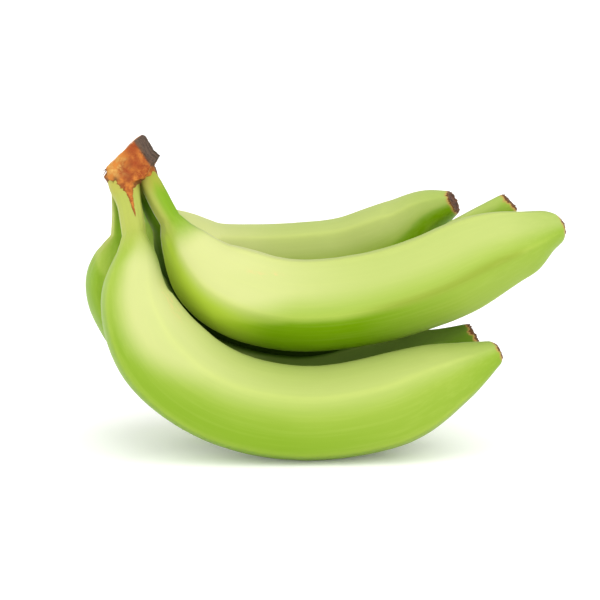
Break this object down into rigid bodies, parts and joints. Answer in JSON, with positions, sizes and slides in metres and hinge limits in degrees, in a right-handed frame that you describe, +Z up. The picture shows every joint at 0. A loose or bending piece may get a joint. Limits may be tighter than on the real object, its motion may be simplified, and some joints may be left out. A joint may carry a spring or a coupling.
{
  "type": "plantain hand",
  "caption": "Hand of curved green plantain fingers joined at one cut crown, lying on its lower fingers with the blossom ends to one side.",
  "frame": {"origin": "centre of the bottom of the whole hand's box, on the surface it rests on", "axes": "+Z up, +X towards the blossom ends, -Y towards the front, where the two front fingers are"},
  "size_m": [0.2374, 0.1508, 0.1512],
  "materials": {
    "green_skin": "smooth unripe peel with a soft waxy sheen",
    "crown_tissue": "matte torn and dried stalk tissue"
  },
  "bodies": {
    "root": {"crown": "crown_tissue", "finger_front_lower": "green_skin", "finger_front_upper": "green_skin", "finger_middle_upper": "green_skin", "finger_back_upper": "green_skin", "finger_back_lower": "green_skin"}
  },
  "joints": []
}
